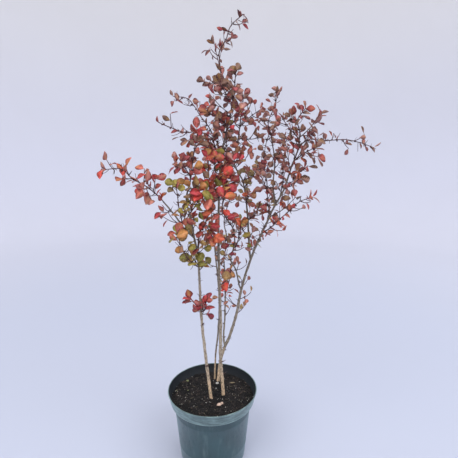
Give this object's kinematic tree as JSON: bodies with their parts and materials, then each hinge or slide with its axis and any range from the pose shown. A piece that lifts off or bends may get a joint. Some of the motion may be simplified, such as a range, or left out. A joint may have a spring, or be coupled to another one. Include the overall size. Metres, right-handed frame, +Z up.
{
  "type": "japanese barberry shrub in a nursery pot",
  "caption": "Young deciduous shrub in autumn colour: slender upright canes with sprays of small rounded red, orange and olive leaves, standing in a tapered plastic nursery pot.",
  "frame": {"origin": "centre of the pot's flat underside", "axes": "+Z up along the canes; the picture looks along +Y, with +X to its right"},
  "size_m": [0.4899, 0.2473, 0.8026],
  "materials": {
    "pot": "smooth dark grey-green moulded plastic, satin",
    "compost": "damp dark peat and bark crumbs",
    "bark": "tan to grey-brown bark with fine ridges",
    "leaves_crimson": "soft matte leaf, crimson",
    "leaves_orange": "soft matte leaf, orange",
    "leaves_burgundy": "soft matte leaf, burgundy",
    "leaves_dusky": "soft matte leaf, dusky brown-pink",
    "leaves_olive": "soft matte leaf, olive green"
  },
  "bodies": {
    "root": {"pot": "pot", "soil": "compost", "bough_front": "bark", "bough_left_inner": "bark", "bough_left_long": "bark", "bough_middle": "bark", "bough_right_tall": "bark", "cane_back": "bark", "cane_centre": "bark", "cane_left": "bark", "cane_right": "bark", "cane_thin": "bark", "foliage_back_low": "leaves_olive", "foliage_back_top": "leaves_orange", "foliage_crown_back": "leaves_dusky", "foliage_crown_front": "leaves_crimson", "foliage_crown_left": "leaves_burgundy", "foliage_crown_right": "leaves_burgundy", "foliage_far_right_tip": "leaves_dusky", "foliage_front_low": "leaves_orange", "foliage_front_tip": "leaves_crimson", "foliage_heart_front": "leaves_crimson", "foliage_heart_right": "leaves_crimson", "foliage_heart_top": "leaves_crimson", "foliage_leader_left": "leaves_dusky", "foliage_leader_mid": "leaves_burgundy", "foliage_leader_right": "leaves_burgundy", "foliage_leader_tip": "leaves_burgundy", "foliage_left_column": "leaves_olive", "foliage_left_inner_low": "leaves_orange", "foliage_left_low": "leaves_crimson", "foliage_left_olive": "leaves_olive", "foliage_left_side": "leaves_orange", "foliage_left_spurs": "leaves_burgundy", "foliage_left_tip": "leaves_crimson", "foliage_left_top": "leaves_crimson", "foliage_middle_foot": "leaves_orange", "foliage_middle_front": "leaves_olive", "foliage_middle_low": "leaves_crimson", "foliage_middle_mid": "leaves_orange", "foliage_middle_right": "leaves_dusky", "foliage_middle_top": "leaves_burgundy", "foliage_middle_twig": "leaves_burgundy", "foliage_right_back_low": "leaves_orange", "foliage_right_back_mid": "leaves_burgundy", "foliage_right_back_top": "leaves_dusky", "foliage_right_crest": "leaves_burgundy", "foliage_right_dusty": "leaves_dusky", "foliage_right_flank": "leaves_dusky", "foliage_right_fork": "leaves_dusky", "foliage_right_inner": "leaves_burgundy", "foliage_right_low_tip": "leaves_crimson", "foliage_right_side": "leaves_crimson", "foliage_right_sprig": "leaves_burgundy", "foliage_right_top": "leaves_burgundy", "foliage_shoulder_low": "leaves_crimson", "foliage_shoulder_tip": "leaves_burgundy", "foliage_thin_low": "leaves_orange", "foliage_thin_top": "leaves_dusky", "foliage_upper_left_tip": "leaves_dusky"}
  },
  "joints": []
}
